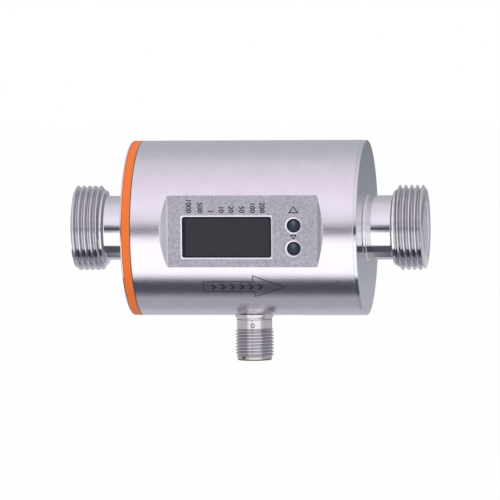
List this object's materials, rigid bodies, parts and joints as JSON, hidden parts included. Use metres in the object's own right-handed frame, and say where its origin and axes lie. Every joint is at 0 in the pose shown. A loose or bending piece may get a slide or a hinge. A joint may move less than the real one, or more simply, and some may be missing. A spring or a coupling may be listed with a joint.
{
  "type": "electromagnetic flow meter",
  "caption": "In-line electromagnetic flow meter: steel tube housing with a display window, push buttons, threaded pipe ends and a round threaded plug below.",
  "frame": {"origin": "centre of the inlet's flat sealing face, on the flow axis", "axes": "+X along the flow towards the outlet, -Y the way the display looks, -Z the way the plug points"},
  "size_m": [0.11, 0.0544, 0.0685],
  "materials": {
    "housing_steel": "bead-blasted stainless steel, satin",
    "cap_steel": "fine-turned stainless steel",
    "fitting_steel": "bright-turned stainless steel",
    "plug_steel": "bright stainless steel",
    "orange_plastic": "moulded plastic, orange",
    "window_glass": "dark tinted window, gloss",
    "button_plastic": "dark blue-grey, satin",
    "seal_rubber": "black rubber",
    "liner_plastic": "beige engineering plastic",
    "electrode_steel": "turned stainless steel",
    "nut_brass": "plain brass",
    "magnet_iron": "soft iron, plain",
    "bobbin_plastic": "black moulded plastic",
    "coil_wire": "enamelled copper winding",
    "carrier_plastic": "dark grey moulded plastic",
    "board_green": "green solder resist",
    "black_plastic": "black moulded plastic",
    "switch_parts": "light grey moulded plastic",
    "pin_gold": "gold plated"
  },
  "bodies": {
    "meter_body": {"housing_tube": "housing_steel", "inlet_end_cap": "cap_steel", "outlet_end_cap": "cap_steel", "inlet_fitting": "fitting_steel", "outlet_fitting": "fitting_steel", "plug_shell": "plug_steel", "insulating_ring": "orange_plastic", "display_window": "window_glass", "inlet_cap_seal": "seal_rubber", "outlet_cap_seal": "seal_rubber", "inlet_tube_seal": "seal_rubber", "outlet_tube_seal": "seal_rubber", "front_electrode_seal": "seal_rubber", "rear_electrode_seal": "seal_rubber", "mode_button_seal": "seal_rubber", "set_button_seal": "seal_rubber", "plug_seal": "seal_rubber", "window_gasket": "seal_rubber", "measuring_tube": "liner_plastic", "front_electrode": "electrode_steel", "rear_electrode": "electrode_steel", "temperature_probe": "electrode_steel", "board_screws": "electrode_steel", "front_electrode_nut": "nut_brass", "rear_electrode_nut": "nut_brass", "upper_pole_piece": "magnet_iron", "lower_pole_piece": "magnet_iron", "magnet_yoke": "magnet_iron", "upper_bobbin": "bobbin_plastic", "lower_bobbin": "bobbin_plastic", "upper_coil": "coil_wire", "lower_coil": "coil_wire", "board_carrier": "carrier_plastic", "main_board": "board_green", "display_board": "board_green", "board_header": "black_plastic", "display_module": "black_plastic", "plug_insert": "black_plastic", "mode_switch": "switch_parts", "set_switch": "switch_parts", "plug_pins": "pin_gold"},
    "mode_key": {"mode_button": "button_plastic", "mode_plunger": "switch_parts"},
    "set_key": {"set_button": "button_plastic", "set_plunger": "switch_parts"}
  },
  "joints": [
    {"name": "mode_press", "type": "slide", "parent": "meter_body", "child": "mode_key", "axis": [0, 1, 0], "range_m": [0, 0.0005], "stiffness_N_per_m": 1000, "springref_m": -0.0003},
    {"name": "set_press", "type": "slide", "parent": "meter_body", "child": "set_key", "axis": [0, 1, 0], "range_m": [0, 0.0005], "stiffness_N_per_m": 1000, "springref_m": -0.0003}
  ]
}
